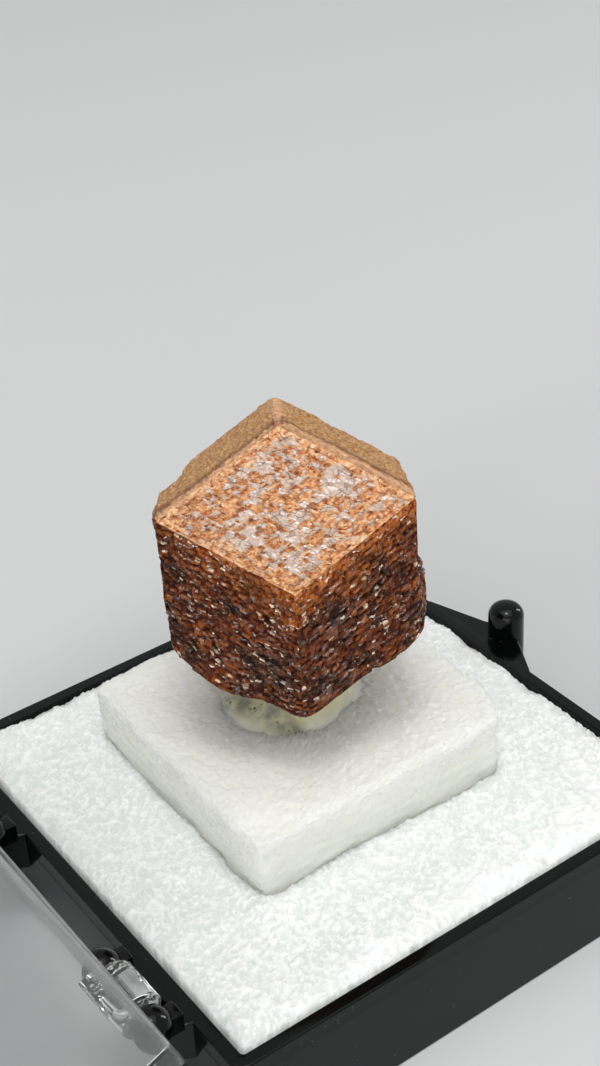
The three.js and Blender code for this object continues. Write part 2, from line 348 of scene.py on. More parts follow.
def crystalSkin():
    normals, reaches, centre, meanReach = crystalPlanes()
    axes = crystalAxes(normals)
    count = crystalLook["cellsPerEdge"]
    steps = np.arange(count + 1) / count
    a, b = [grid.ravel() for grid in np.meshgrid(steps, steps, indexing="ij")]
    corner = math.sqrt(2) * meanReach  # from the centre to a four-faced corner
    edge = corner * math.sqrt(3) / 2
    nearA = np.minimum(a, 1 - a)
    nearB = np.minimum(b, 1 - b)
    margin = np.minimum(nearA, nearB) * edge * math.sin(math.acos(1 / 3))  # mm from an edge
    index = np.arange((count + 1) ** 2).reshape(count + 1, count + 1)
    quads = [index[:-1, :-1], index[1:, :-1], index[1:, 1:], index[:-1, 1:]]
    quads = np.stack(quads, -1).reshape(-1, 4)
    rims = np.tile(1 - eased(margin, *crystalLook["chipReach"]), len(normals))
    directions, sunk, faces, lattice, marks, ledges = [], [], [], [], [], []
    for normal in normals:
        start, edgeA, edgeB = faceEdges(normal, axes, corner)
        outward = np.cross(edgeA, edgeB) @ normal > 0
        points = start + a[:, None] * edgeA + b[:, None] * edgeB
        upper = normal[2] > 0.5
        crown = upper and normal[1] < -0.3
        look = crystalLook["crown" if crown else "frosted" if upper else "side"]
        seed = 100 + 60 * len(faces)
        depth, plateau, relief, tint = etch(look, a * edge, b * edge, margin, seed)
        fade = eased(margin, 0.0, look["fade"])
        # the fine lines are long beside an edge and close together across it
        alongA = np.where(nearB < nearA, 0.6, 7)
        alongB = np.where(nearB < nearA, 7, 0.6)
        drawn = np.stack([a * alongA, b * alongB, a * 0], 1)
        stria = lumps(drawn * edge, 1.0, 90 + len(faces)) - 0.5
        stria = stria * (1 - eased(margin, *crystalLook["striaReach"]))
        depth = depth + stria * crystalLook["stria"]
        directions.append(points / np.linalg.norm(points, axis=1)[:, None])
        sunk.append(normal * (depth * fade)[:, None])
        kind = a * 0 + (1.0 if crown else 0.5 if upper else 0.0)
        marks.append(np.stack([plateau * fade, relief * fade, kind, tint, stria], 1))
        lattice.append(np.stack([a * edge + 20 * len(faces), b * edge], 1))
        beside = [other for other in normals if abs(other @ normal - 0.5) < 0.05]
        ledges.append(a[:, None] * 0 + max(beside, key=lambda other: other[2]))
        faces.append((quads if outward else quads[:, ::-1]) + len(faces) * len(points))
    directions, sunk, faces, lattice, marks, ledges = [
        np.concatenate(part) for part in (directions, sunk, faces, lattice, marks, ledges)]
    skin = roundedSkin(directions, normals, reaches, axes)
    swell = (lumps(skin, 2.4, 7) - 0.5) * 1.5 + (lumps(skin, 0.9, 8) - 0.5) * 0.7
    nick = eased(lumps(skin, 0.5, 9), 0.7, 0.9) * rims * crystalLook["chip"]
    grown = swell * crystalLook["swell"] - nick
    for toward, spread, height in crystalLook["bulges"]:
        away = np.linalg.norm(directions - np.array(toward), axis=1)
        grown += height * (1 - eased(away, 0, spread))
    skin += directions * grown[:, None]
    upward = np.flatnonzero(normals[:, 2] > 0.5)
    crownFace = min(upward, key=lambda at: normals[at, 1])
    under = reaches[upward] - skin @ normals[upward].T
    # painted glow: light that comes down into the stone through its upper faces, least at the far
    # left, painted into its colour
    lightest = 0.3 + 0.7 * eased(directions @ np.array([0.83, -0.55, 0]), -0.7, -0.15)
    depth = under.min(axis=1) + lumps(skin, 0.9, 10)
    glow = (1 - eased(depth, *crystalLook["glowDepth"])) * lightest
    slope = math.sin(math.radians(60))  # one upper face falls away from the next
    # a painted highlight, with some wear from rubbing, along the ridges between the upper faces
    fromRidge = np.sort(under, axis=1)[:, 1] / slope + lumps(skin, 0.4, 11) * 0.3
    ridge = 1 - eased(fromRidge, *crystalLook["ridgeHighlightWidth"])
    # a dark strip of painted shade on the frosted faces, next to the crown
    fromCrown = (reaches[crownFace] - skin @ normals[crownFace]) / slope
    band = 1 - eased(fromCrown, *crystalLook["shadeBandWidth"])
    marks = np.column_stack([marks, ridge, band, glow, ledges])
    return skin - sunk + centre, faces, lattice, marks


def weld(points, faces, marks, tolerance):
    # points on a shared edge become one point
    keys = np.round(points / tolerance).astype(np.int64)
    _, kept, joined = np.unique(keys, axis=0, return_index=True, return_inverse=True)
    joined = joined.ravel()
    return points[kept], joined[faces], marks[kept], joined


markNames = ("plateau", "relief", "kind", "tint", "stria", "ridge", "band", "glow",
             "ledgeX", "ledgeY", "ledgeZ")

garnetGrain = {  # mm across one lump, and how many finer layers are on it
    "cloud": (1.6, 4),  # slow changes of colour through the stone
    "speckle": (0.2, 3),
    "freckle": (0.14, 2),  # fine pits in the grown face, too small for the mesh
    "broken": (0.5, 2),  # where the crevices run out
    "drift": (2.2, 2),  # bright treads come in drifts, with bare stone between
    "grit": (0.1, 2),
}


def garnetMaterial():
    # Garnet, grown and then etched: a brown stone of high index. What is left of the grown face
    # mirrors the light overhead, the etched stone beside it is matt and granular, and small
    # bits of the steps, each leaning its own way, flash white
    material, add = newMaterial("garnetEtched")
    plateau, relief, kind, tint, stria, ridge, band, lit, *ledge = [
        add("Attribute", {"attribute_name": name}).outputs["Fac"] for name in markNames]
    place = add("TexCoord").outputs["Object"]
    cloud, speckle, freckle, broken, drift, grit = [
        add("TexNoise", inputs={"Vector": place, "Scale": 1 / (size * mm), "Detail": detail})
        for size, detail in garnetGrain.values()]
    left = add("MapRange", inputs={"Value": freckle, 1: 0.32, 2: 0.38})
    grown = add("Math", times, {0: plateau, 1: left})
    # colour of the crown: a pale orange crust, greyer where the grown face is left, partly its own
    # tone and partly a painted sheen
    crust = add("ValToRGB", inputs={"Fac": speckle}, stops=[
        (0.30, "B47042"), (0.42, "D29662"), (0.55, "E6B282"), (0.68, "F0CEAA")])
    skin = add("ValToRGB", inputs={"Fac": speckle}, stops=[
        (0.30, "987E6E"), (0.50, "B49C8C"), (0.70, "C0AC9E")])
    pale = add("Mix", mixColour, {0: grown, 6: crust, 7: skin})
    # colour of the frosted faces: even olive-brown, with a dark strip of painted shade next to the
    # crown
    frosting = add("ValToRGB", inputs={"Fac": speckle}, stops=[
        (0.34, "986C3E"), (0.50, "B68858"), (0.64, "D0A478")])
    shaded = add("Math", times, {0: band, 1: 0.75})
    frost = add("Mix", mixColour, {0: shaded, 6: frosting, 7: "74482A"})
    # colour of the other faces: dark red-brown stone, with a painted glow of amber where light goes
    # through it
    # the stone is darker than the crown, partly its own colour and partly painted shade, as these
    # faces get less light from above
    mixed = add("Mix", {"data_type": "FLOAT"}, {0: 0.4, 2: speckle, 3: tint})
    stone = add("ValToRGB", inputs={"Fac": mixed}, stops=[
        (0.22, "341A0A"), (0.40, "5A3216"), (0.55, "7C4C24"), (0.68, "986638"), (0.8, "B48A5C")])
    glow = add("ValToRGB", inputs={"Fac": cloud}, stops=[
        (0.36, "8A7464"), (0.5, "E0B890"), (0.64, "FFCC90")])
    deep = add("Mix", darken, {0: 1.0, 6: stone, 7: glow})
    # painted glow: amber where light comes in through the upper faces
    amber = add("Math", times, {0: lit, 1: cloud})
    withPaintedGlow = add("Mix", mixColour, {0: amber, 6: deep, 7: "C8742C"})
    isUpper = add("MapRange", inputs={"Value": kind, 1: 0.0, 2: 0.5})
    isCrown = add("MapRange", inputs={"Value": kind, 1: 0.5, 2: 1.0})
    upperColour = add("Mix", mixColour, {0: isCrown, 6: frost, 7: pale})
    colour = add("Mix", mixColour, {0: isUpper, 6: withPaintedGlow, 7: upperColour})
    # painted shade: the hollows are darker and redder, least on the frosted faces
    frosted = add("Math", {"operation": "COMPARE"}, {0: kind, 1: 0.5, 2: 0.2})
    most = add("MapRange", inputs={"Value": isCrown, 3: 0.8, 4: 0.55})
    most = add("MapRange", inputs={"Value": frosted, 3: most, 4: 0.15})
    hollowShade = add("MapRange", inputs={"Value": relief, 1: 0.0, 2: -1.1, 3: 0.0, 4: most})
    withHollowShade = add("Mix", darken, {0: hollowShade, 6: colour, 7: "BC7C52"})
    # the ridges between the upper faces are pale: a painted highlight along them, and some wear from
    # rubbing
    ridgeHighlight = add("Math", times, {0: ridge, 1: isUpper})
    ridgeHighlight = add("Math", times, {0: ridgeHighlight, 1: speckle})
    withRidgeHighlight = add("Mix", mixColour, {0: ridgeHighlight, 6: withHollowShade, 7: "F2C298"})
    # fine lines run beside the edges
    lined = add("MapRange", inputs={"Value": stria, 1: -0.15, 2: -0.4, 3: 0.0, 4: 0.7})
    edged = add("Mix", darken, {0: lined, 6: withRidgeHighlight, 7: "A86C48"})
    # scales: thin broken crevices between the blocks of the etched skin, 0.02 mm wide in the
    # real stone and drawn at 0.05 mm to show, with painted shade in them
    lattice = add("UVMap", {"uv_map": "lattice"}).outputs["UV"]
    blocks = add("Mapping", inputs={"Vector": lattice, "Scale": (1 / 0.5, 1 / 0.36, 1)})
    crevice = add("TexVoronoi", {"feature": "DISTANCE_TO_EDGE"}, {
        "Vector": blocks, "Scale": 1.0, "Randomness": 0.75})
    width = add("MapRange", inputs={"Value": broken, 1: 0.48, 2: 0.66, 3: 0.005, 4: 0.16})
    shadedCrevice = add("MapRange", inputs={
        "Value": crevice.outputs["Distance"], 1: 0.0, 2: width, 3: 0.7, 4: 0.0})
    dark = add("MapRange", inputs={"Value": frosted, 3: 1.0, 4: 0.25})
    shadedCrevice = add("Math", times, {0: shadedCrevice, 1: dark})
    # painted shade in the crevices
    scaled = add("Mix", darken, {0: shadedCrevice, 6: edged, 7: "7E4A2C"})
    # glints: each small cell of the lattice leans its own way, and some are bare and bright
    cells = add("Mapping", inputs={"Vector": lattice, "Scale": (1 / 0.3, 1 / 0.11, 1)})
    facets = add("TexVoronoi", {"distance": "CHEBYCHEV"}, {
        "Vector": cells, "Scale": 1.0, "Randomness": 0.9})
    leaning = add("VectorMath", {"operation": "SUBTRACT"}, {
        0: facets.outputs["Color"], 1: (0.5, 0.5, 0.5)})
    lean = add("MapRange", inputs={"Value": grown, 3: 0.8, 4: 0.08})
    leant = add("VectorMath", {"operation": "SCALE"}, {0: leaning, "Scale": lean})
    normal = add("NewGeometry").outputs["Normal"]
    tilted = add("VectorMath", {"operation": "ADD"}, {0: normal, 1: leant})
    unit = add("VectorMath", {"operation": "NORMALIZE"}, {0: tilted})
    # ledges: narrow treads of the steps, parallel to the face above, which flash together
    ledgeNormal = add("CombineXYZ", inputs=dict(enumerate(ledge)))
    rows = add("Mapping", inputs={"Vector": lattice, "Scale": (1 / 0.4, 1 / 0.15, 1)})
    treads = add("TexVoronoi", {"distance": "CHEBYCHEV"}, {
        "Vector": rows, "Scale": 1.0, "Randomness": 1.0})
    treadParts = add("SeparateColor", inputs={"Color": treads.outputs["Color"]})
    luck = add("Math", timesPlus, {0: drift, 1: 0.6, 2: treadParts.outputs["Red"]})
    chosen = add("MapRange", inputs={"Value": luck, 1: 1.17, 2: 1.18})
    offCentre = add("MapRange", inputs={"Value": treads.outputs["Distance"], 1: 0.42, 2: 0.34})
    onSide = add("MapRange", inputs={"Value": kind, 1: 0.3, 2: 0.0})
    tread = add("Math", times, {0: chosen, 1: offCentre})
    tread = add("Math", times, {0: tread, 1: onSide})
    # painted glint: the chosen treads get a pale colour that stands for their flash of light
    paintedGlint = add("Math", times, {0: tread, 1: treadParts.outputs["Green"]})
    bright = add("Mix", mixColour, {0: paintedGlint, 6: scaled, 7: "E2C49C"})
    unsteady = add("VectorMath", timesPlus, {0: leaning, 1: (0.35, 0.35, 0.35), 2: ledgeNormal})
    stepped = add("Mix", {"data_type": "VECTOR"}, {0: tread, 4: unit, 5: unsteady})
    stepped = add("VectorMath", {"operation": "NORMALIZE"}, {0: stepped})
    surface = add("Math", timesPlus, {0: shadedCrevice, 1: -0.8, 2: grit})
    bump = add("Bump", inputs={
        "Strength": 0.5, "Distance": 0.03 * mm, "Height": surface, "Normal": stepped})
    split = add("SeparateColor", inputs={"Color": facets.outputs["Color"]})
    bare = add("MapRange", inputs={"Value": split.outputs["Green"], 1: 0.78, 2: 0.86})
    glinting = add("Math", {"operation": "SUBTRACT", "use_clamp": True}, {0: bare, 1: frosted})
    mirror = add("Math", times, {0: grown, 1: 0.2})
    shine = add("Math", {"operation": "MAXIMUM"}, {0: glinting, 1: mirror})
    glaze = add("Math", {"operation": "MAXIMUM"}, {0: shine, 1: tread})
    shader = add("BsdfPrincipled", inputs={
        "Base Color": bright, "Roughness": 0.5, "IOR": 1.45, "Specular IOR Level": 0.25,
        "Coat Weight": glaze, "Coat Roughness": 0.16, "Coat IOR": 1.8,
        "Normal": bump, "Coat Normal": bump})
    add("OutputMaterial", inputs={"Surface": shader})
    return material


def buildCrystal():
    points, faces, lattice, marks = crystalSkin()
    onLattice = lattice[faces.ravel()]
    points, faces, marks, joined = weld(points, faces, marks, 0.004)
    crystal = newPiece("garnet", points * mm, faces.tolist(), garnetMaterial())
    for name, values in zip(markNames, marks.T):
        addValues(crystal, name, values)
    layer = crystal.data.uv_layers.new(name="lattice")
    layer.data.foreach_set("uv", onLattice.astype(np.float32).ravel())
    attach(crystal, "base")
    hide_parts("garnet_crystal")


buildCrystal()
print("crystal made")


# The white foam: a liner that fills the tray, and a cut block of it that carries the crystal

foamLook = {
    "linerCells": 300,  # along each side of the liner's top
    "shred": 0.55,  # mm, from one torn bubble wall to the next
    "wall": 0.14,  # mm, how far the walls stand up
    "swell": 0.14,  # mm, unevenness of the liner's torn top
    # colours of its crests, walls and hollows, with painted highlight on the crests and painted shade
    # in the hollows, and how far light spreads in it, in mm
    "torn": {"bright": "FCFEFC", "white": "E6EAE7", "shade": "E0E4E1", "depth": 1.6},
    "cut": {"bright": "FAFBF0", "white": "F7F9EC", "shade": "ECEEDF", "depth": 4.0},
    "riserAround": 560,  # points round the block
    "riserSide": 31,  # rings up its sides, round its top edge, and in over its top
    "riserEdge": 20,
    "riserTop": 87,
    "riserRound": 0.55,  # mm, radius of its worn top edge
    "riserCorner": 0.8,  # mm, radius of its upright corners
    "riserSnip": (1.6, 2.9),  # mm, the corner that the knife took off
    "riserSkew": 0.4,  # mm, how far its left side is out of square
    "riserPressed": 0.3,  # mm, how deep it stands in the liner
    "riserSwell": 0.3,  # mm, unevenness of its faces, and of the knife's passes on its sides
}


def foamMaterial(name, bright, white, shade, depth):
    # Polyethylene foam, torn or cut: thin bubble walls that pass light on, so it is white
    # right through, with soft shadows, a painted highlight on the torn crests, painted shade in the
    # hollows, and small wet-looking glints
    material, add = newMaterial(name)
    place = add("TexCoord").outputs["Object"]
    crest = add("Attribute", {"attribute_name": "crest"}).outputs["Fac"]
    # bubble walls of the smallest kind: 0.05 mm in real foam, drawn at 0.2 mm to show
    grain = add("TexNoise", inputs={
        "Vector": place, "Scale": 1 / (0.2 * mm), "Detail": 3, "Distortion": 1.5})
    both = add("Math", timesPlus, {0: grain, 1: 0.5, 2: crest})
    # painted highlight on the crests and painted shade in the hollows
    colour = add("ValToRGB", inputs={"Fac": both}, stops=[
        (0.25, shade), (0.7, white), (1.1, bright)])
    bump = add("Bump", inputs={"Strength": 0.6, "Distance": 0.07 * mm, "Height": grain})
    wet = add("MapRange", inputs={"Value": both, 1: 0.55, 2: 0.85})
    shader = add("BsdfPrincipled", inputs={
        "Base Color": colour, "Roughness": 0.6, "IOR": 1.45,
        "Subsurface Weight": 0.8, "Subsurface Radius": (1.0, 1.0, 1.0),
        "Subsurface Scale": depth * mm, "Coat Weight": wet, "Coat Roughness": 0.12,
        "Normal": bump, "Coat Normal": bump})
    add("OutputMaterial", inputs={"Surface": shader})
    return material


def foamRelief(points, seed):
    # torn bubble walls: thin curling ridges with crumbs between them, from about 0 to 1
    pull = np.stack([lumps(points, 0.8, seed + axis) for axis in range(3)], axis=1) - 0.5
    bent = points + pull * 0.9
    relief = np.zeros(len(points))
    for layer, size in enumerate((1.0, 0.55, 0.32)):
        level = lumps(bent, foamLook["shred"] * size, seed + 5 + layer)
        ridge = np.clip(1 - np.abs(level - 0.5) * 8, 0, 1)
        relief = np.maximum(relief, ridge * (0.55 + 0.45 * lumps(points, 1.1, seed + 9 + layer)))
    crumbs = lumps(points, 0.3, seed + 20) * 0.3 + lumps(points, 0.17, seed + 21) * 0.3
    return relief * 0.55 + crumbs


def gridFaces(rows, columns, wrapped):
    # four-sided faces between the rows of a grid of points, closed round if it wraps
    index = np.arange(rows * columns).reshape(rows, columns)
    if wrapped:
        index = np.column_stack([index, index[:, 0]])
    quads = [index[:-1, :-1], index[:-1, 1:], index[1:, 1:], index[1:, :-1]]
    return np.stack(quads, -1).reshape(-1, 4)


def ringNormals(rings):
    # outward normals of a skin made of closed rings, from the foot up
    along = np.roll(rings, -1, axis=1) - np.roll(rings, 1, axis=1)
    up = np.gradient(rings, axis=0)
    normals = np.cross(along, up)
    return normals / np.maximum(np.linalg.norm(normals, axis=2, keepdims=True), 1e-9)


def ringPiece(name, rings, material):
    # closes a skin of rings with a flat foot and a point at the middle of the top
    rows, columns = rings.shape[:2]
    faces = gridFaces(rows, columns, True).tolist()
    points = np.concatenate([rings.reshape(-1, 3), rings[-1].mean(axis=0)[None]])
    last = (rows - 1) * columns
    faces += [(last + i, last + (i + 1) % columns, rows * columns) for i in range(columns)]
    faces.append(list(range(columns))[::-1])
    return newPiece(name, points * mm, faces, material, smooth=True)


def buildLiner():
    low, high = [np.array(corner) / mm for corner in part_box("foam_liner")]
    count = foamLook["linerCells"]
    steps = np.linspace(0, 1, count + 1)
    y, x = [grid.ravel() for grid in np.meshgrid(steps, steps, indexing="ij")]
    flat = np.stack([low[0] + x * (high[0] - low[0]), low[1] + y * (high[1] - low[1]), x * 0], 1)
    margin = np.minimum(np.minimum(flat[:, 0] - low[0], high[0] - flat[:, 0]),
                        np.minimum(flat[:, 1] - low[1], high[1] - flat[:, 1]))
    ragged = lumps(flat, 0.9, 37) * 0.5 + lumps(flat, 0.35, 38) * 0.25
    crest = foamRelief(flat, 33)
    height = (lumps(flat, 2.6, 31) - 0.5) * 2 * foamLook["swell"]
    height += (crest - 0.6) * 2 * foamLook["wall"]
    height -= (1 - eased(margin, 0.0, 0.5 + ragged)) * (0.1 + ragged * 0.5)
    top = flat + np.array([0, 0, 1]) * (high[2] + height)[:, None]
    index = np.arange((count + 1) ** 2).reshape(count + 1, count + 1)
    ring = np.concatenate([index[0, :-1], index[:-1, -1], index[-1, :0:-1], index[:0:-1, 0]])
    foot = top[ring].copy()
    foot[:, 2] = low[2]
    lower = len(top) + np.arange(len(ring))
    onward = np.roll(np.arange(len(ring)), -1)
    walls = np.stack([lower, lower[onward], ring[onward], ring], 1)
    faces = [*gridFaces(count + 1, count + 1, False).tolist(), *walls.tolist(), lower[::-1].tolist()]
    material = foamMaterial("foamTorn", **foamLook["torn"])
    liner = newPiece("liner", np.concatenate([top, foot]) * mm, faces, material, smooth=True)
    addValues(liner, "crest", np.concatenate([crest, foot[:, 2] * 0]))
    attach(liner, "base")
    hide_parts("foam_liner")


def roundedOutline(corners, radius, count):
    # a closed outline with arcs at its corners, as evenly spaced points
    fine = []
    for at, corner in enumerate(corners):
        before = corners[at - 1] - corner
        after = corners[(at + 1) % len(corners)] - corner
        start = corner + before / np.linalg.norm(before) * radius
        end = corner + after / np.linalg.norm(after) * radius
        for t in np.linspace(0, 1, 9):
            fine.append((1 - t) ** 2 * start + 2 * t * (1 - t) * corner + t ** 2 * end)
    fine = np.array(fine + [fine[0]])
    travelled = np.concatenate([[0], np.cumsum(np.linalg.norm(np.diff(fine, axis=0), axis=1))])
    places = np.linspace(0, travelled[-1], count, endpoint=False)
    return np.stack([np.interp(places, travelled, fine[:, axis]) for axis in range(2)], 1)


def buildRiser():
    look = foamLook
    low, high = [np.array(corner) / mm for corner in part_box("foam_riser")]
    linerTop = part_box("foam_liner")[1].z / mm
    snipX, snipY = look["riserSnip"]
    corners = [np.array(corner) for corner in (
        (low[0], low[1]),
        (high[0] - snipX, low[1]),
        (high[0], low[1] + snipY),
        (high[0], high[1]),
        (low[0] + look["riserSkew"], high[1]),
    )]
    outline = roundedOutline(corners, look["riserCorner"], look["riserAround"])
    centre = outline.mean(axis=0)
    reach = np.linalg.norm(outline - centre, axis=1)
    bottom = linerTop - look["riserPressed"]
    top = high[2] - 0.05
    radius = look["riserRound"]
    steps = [(0, bottom + t * (top - radius - bottom)) for t in np.linspace(0, 1, look["riserSide"])]
    steps += [(radius * (1 - math.cos(turn)), top - radius + radius * math.sin(turn))
              for turn in np.linspace(0, math.pi / 2, look["riserEdge"] + 1)[1:]]
    rings = [centre + (outline - centre) * (1 - inward / reach)[:, None] for inward, height in steps]
    heights = [height for inward, height in steps]
    edgeRing = rings[-1]
    for t in np.linspace(1, 0.02, look["riserTop"] + 1)[1:]:
        rings.append(centre + (edgeRing - centre) * t)
        heights.append(top)
    skin = np.stack([np.column_stack([ring, ring[:, 0] * 0 + height])
                     for ring, height in zip(rings, heights)])
    flat = skin.reshape(-1, 3)
    torn = eased(flat[:, 2], bottom + 0.8, top - 0.5)  # the cut sides are smoother than the top
    crest = foamRelief(flat, 61) * (0.5 + 0.5 * torn)
    relief = (crest - 0.4) * 2.2 * look["wall"]
    relief += (lumps(flat, 2.2, 62) - 0.5) * look["riserSwell"] - 0.1
    streaks = flat * np.array([0.35, 0.35, 1.6])  # the knife's passes run along the sides
    relief += (lumps(streaks, 0.5, 63) - 0.5) * look["riserSwell"] * (1 - torn)
    skin = skin + ringNormals(skin) * relief.reshape(skin.shape[:2])[:, :, None]
    riser = ringPiece("riser", skin, foamMaterial("foamCut", **look["cut"]))
    addValues(riser, "crest", np.append(crest, crest[-1]))
    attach(riser, "base")
    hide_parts("foam_riser")


buildLiner()
buildRiser()
print("foam made")


# The putty: a lump of pale wax pressed up round the crystal's lowest corner

puttyLook = {
    "around": 260,
    "rings": 64,
    "reach": 4.45,  # mm, from its middle to its edge
    "drawnIn": 1.15,  # mm, how much nearer the edge is at the front
    "frontTurn": -95,  # degrees round from +X, the way its front faces
    "lip": 0.4,  # mm, the point drawn out beside it
    "lipTurn": -140,  # degrees round from +X
    "soilShadeStart": (-2.9, 3.7),  # mm, where grains of earth were pressed in, with painted shade, along the crystal's edge
    "soilShadeEnd": (-1.5, -1.0),
    "soilShadeWidth": 1.1,
    "rise": 2.76,  # mm, how far it would climb at its middle
    "foot": 0.65,  # mm, how deep its edge thins out into the foam
    "skirt": 0.25,  # mm, height of the low skirt round it
}


def waxMaterial():
    # Mineral wax, pressed by hand: yellowish and slightly see-through, so it glows at thin
    # edges, with a soft gloss, a few dark grains of earth stuck on it, and painted shade along the
    # crystal's edge
    material, add = newMaterial("waxPressed")
    place = add("TexCoord").outputs["Object"]
    cloud, dust, smear, ripple = [
        add("TexNoise", inputs={"Vector": place, "Scale": 1 / (size * mm), "Detail": detail})
        for size, detail in ((1.6, 4), (0.3, 3), (0.9, 4), (0.5, 3))]
    colour = add("ValToRGB", inputs={"Fac": cloud}, stops=[(0.35, "E4E1B4"), (0.65, "F2F0D0")])
    soil = add("Attribute", {"attribute_name": "soil"}).outputs["Fac"]
    spotted = add("Math", times, {0: soil, 1: dust})
    spots = add("MapRange", inputs={"Value": spotted, 1: 0.6, 2: 0.72})
    smeared = add("MapRange", inputs={"Value": smear, 1: 0.3, 2: 0.6, 4: 0.85})
    thin = add("Attribute", {"attribute_name": "thin"}).outputs["Fac"]
    # painted glow: the thin edge takes the pale colour of the foam that light shows through it
    feathered = add("Mix", mixColour, {0: thin, 6: colour, 7: "F9FBEA"})
    # painted shade: a grey smear along the crystal's lower edge
    paintedShadeSmear = add("Math", times, {0: soil, 1: smeared})
    withShadeSmear = add("Mix", mixColour, {0: paintedShadeSmear, 6: feathered, 7: "86887A"})
    soiledAndShaded = add("Mix", mixColour, {0: spots, 6: withShadeSmear, 7: "45423A"})
    bump = add("Bump", inputs={"Strength": 0.25, "Distance": 0.06 * mm, "Height": ripple})
    shader = add("BsdfPrincipled", inputs={
        "Base Color": soiledAndShaded, "Roughness": 0.5, "IOR": 1.45,
        "Subsurface Weight": 0.6, "Subsurface Radius": (1.0, 0.97, 0.8),
        "Subsurface Scale": 1.5 * mm, "Normal": bump})
    add("OutputMaterial", inputs={"Surface": shader})
    return material


def buildPutty():
    look = puttyLook
    low, high = [np.array(corner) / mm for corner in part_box("mounting_putty")]
    centre = (low + high) / 2
    foot = low[2] - look["foot"]
    turns = np.linspace(0, 2 * math.pi, look["around"], endpoint=False)
    circle = np.stack([np.cos(turns), np.sin(turns), turns * 0], 1)
    edge = look["reach"] + (lumps(circle * 4, 1.1, 81) - 0.5) * 0.35
    edge -= look["drawnIn"] * eased(np.cos(turns - math.radians(look["frontTurn"])), 0.1, 0.9)
    edge += look["lip"] * eased(np.cos(turns - math.radians(look["lipTurn"])), 0.95, 1.0)
    rings = []
    spans = np.concatenate([np.linspace(1, 0.93, 6), np.linspace(0.93, 0.03, look["rings"] - 6)[1:]])
    for out in spans:
        # a low skirt that sweeps up to the crystal
        height = foot + look["skirt"] * math.sqrt(1 - out ** 8) + look["rise"] * (1 - out) ** 1.5
        ring = centre + circle * (edge * out)[:, None]
        ring[:, 2] = height
        rings.append(ring)
    skin = np.stack(rings)
    flat = skin.reshape(-1, 3)
    pressed = (lumps(flat, 1.5, 82) - 0.5) * 0.1 + (lumps(flat, 0.5, 83) - 0.5) * 0.08
    skin = skin + ringNormals(skin) * pressed.reshape(skin.shape[:2])[:, :, None]
    putty = ringPiece("putty", skin, waxMaterial())
    flat = np.concatenate([skin.reshape(-1, 3), skin[-1].mean(axis=0)[None]])
    start, end = np.array(look["soilShadeStart"]), np.array(look["soilShadeEnd"])
    along = np.clip((flat[:, :2] - start) @ (end - start) / ((end - start) ** 2).sum(), 0, 1)
    away = np.linalg.norm(flat[:, :2] - start - along[:, None] * (end - start), axis=1)
    addValues(putty, "soil", 1 - eased(away, 0.2, look["soilShadeWidth"]))
    outward = np.append(np.repeat(spans, look["around"]), 0)
    addValues(putty, "thin", eased(outward, 0.8, 1.0))
    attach(putty, "base")
    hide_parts("mounting_putty")


buildPutty()
print("putty made")


# The box: a black tray and a clear lid, both injection moulded, made from the frame's sizes

boxLook = {
    "corner": 0.9,  # mm, radius of the upright corners
    "edge": 0.13,  # mm, roundness of the moulded edges
    "trayWall": 0.87,
    "trayFloor": 1.2,
    "lidWall": 1.45,
    "ball": 1.12,  # mm, radius of the hinge balls
    "ballOffset": 2.44,  # mm, each ball from the middle of its hinge
    "knuckle": 1.3,  # mm, radius of the lid's hinge barrels
    "post": 1.15,  # mm, radius of the latch post
    "tab": 2.3,  # mm, radius of the latch tab's round end
    "gap": 0.3,  # mm, between parts that move
    "hingeMiddles": (-8.81, 8.81),  # mm, along the hinge side
    "shoulder": 1.35,  # mm, how far the hinge shoulders stand out from the tray
    "shoulderHalf": 3.13,  # mm, half their length at the tray, and at their outer edge
    "shoulderTip": 2.53,
    "shoulderDepth": 2.6,  # mm, down from the tray's top edge
    "neckHalf": 0.55,
    "knuckleHalf": 1.45,  # mm, half the length of a hinge barrel
    "knuckleFlat": 1.15,  # mm, from its axis to the flat on its outer side
    "latchY": 2.6,  # mm, the latch post along its side
    "latchEnds": (-1.5, 8.4),  # mm, the two ends of the latch shoulder along that side
    "lidHeight": 25,
    "lidRound": 0.3,  # mm, roundness of the lid's closed end
    "tabThick": 1.2,
}


def blackMaterial():
    # Polystyrene, injection moulded and polished: near black with a sharp gloss, slightly
    # wavy where the wall shrank, with fine rub marks and dust that only show in the gloss
    material, add = newMaterial("polystyreneBlack")
    place = add("TexCoord").outputs["Object"]
    sink = add("TexNoise", inputs={"Vector": place, "Scale": 1 / (7 * mm), "Detail": 1})
    rub = add("Mapping", inputs={"Vector": place, "Scale": (1, 6, 1), "Rotation": (0, 0, 0.5)})
    # rub marks are a few hundredths of a millimetre wide, drawn at 0.2 mm to show
    marks = add("TexNoise", inputs={
        "Vector": rub, "Scale": 1 / (1.2 * mm), "Detail": 6, "Roughness": 0.7})
    gloss = add("MapRange", inputs={"Value": marks, 1: 0.4, 2: 0.75, 3: 0.06, 4: 0.2})
    bump = add("Bump", inputs={"Strength": 0.3, "Distance": 0.1 * mm, "Height": sink})
    fluff = add("TexNoise", inputs={"Vector": place, "Scale": 1 / (0.35 * mm), "Detail": 2})
    dust = add("ValToRGB", inputs={"Fac": fluff}, stops=[(0.72, "050707"), (0.78, "343838")])
    shader = add("BsdfPrincipled", inputs={
        "Base Color": dust, "Roughness": gloss, "IOR": 1.5,
        "Specular IOR Level": 0.25, "Normal": bump})
    add("OutputMaterial", inputs={"Surface": shader})
    return material


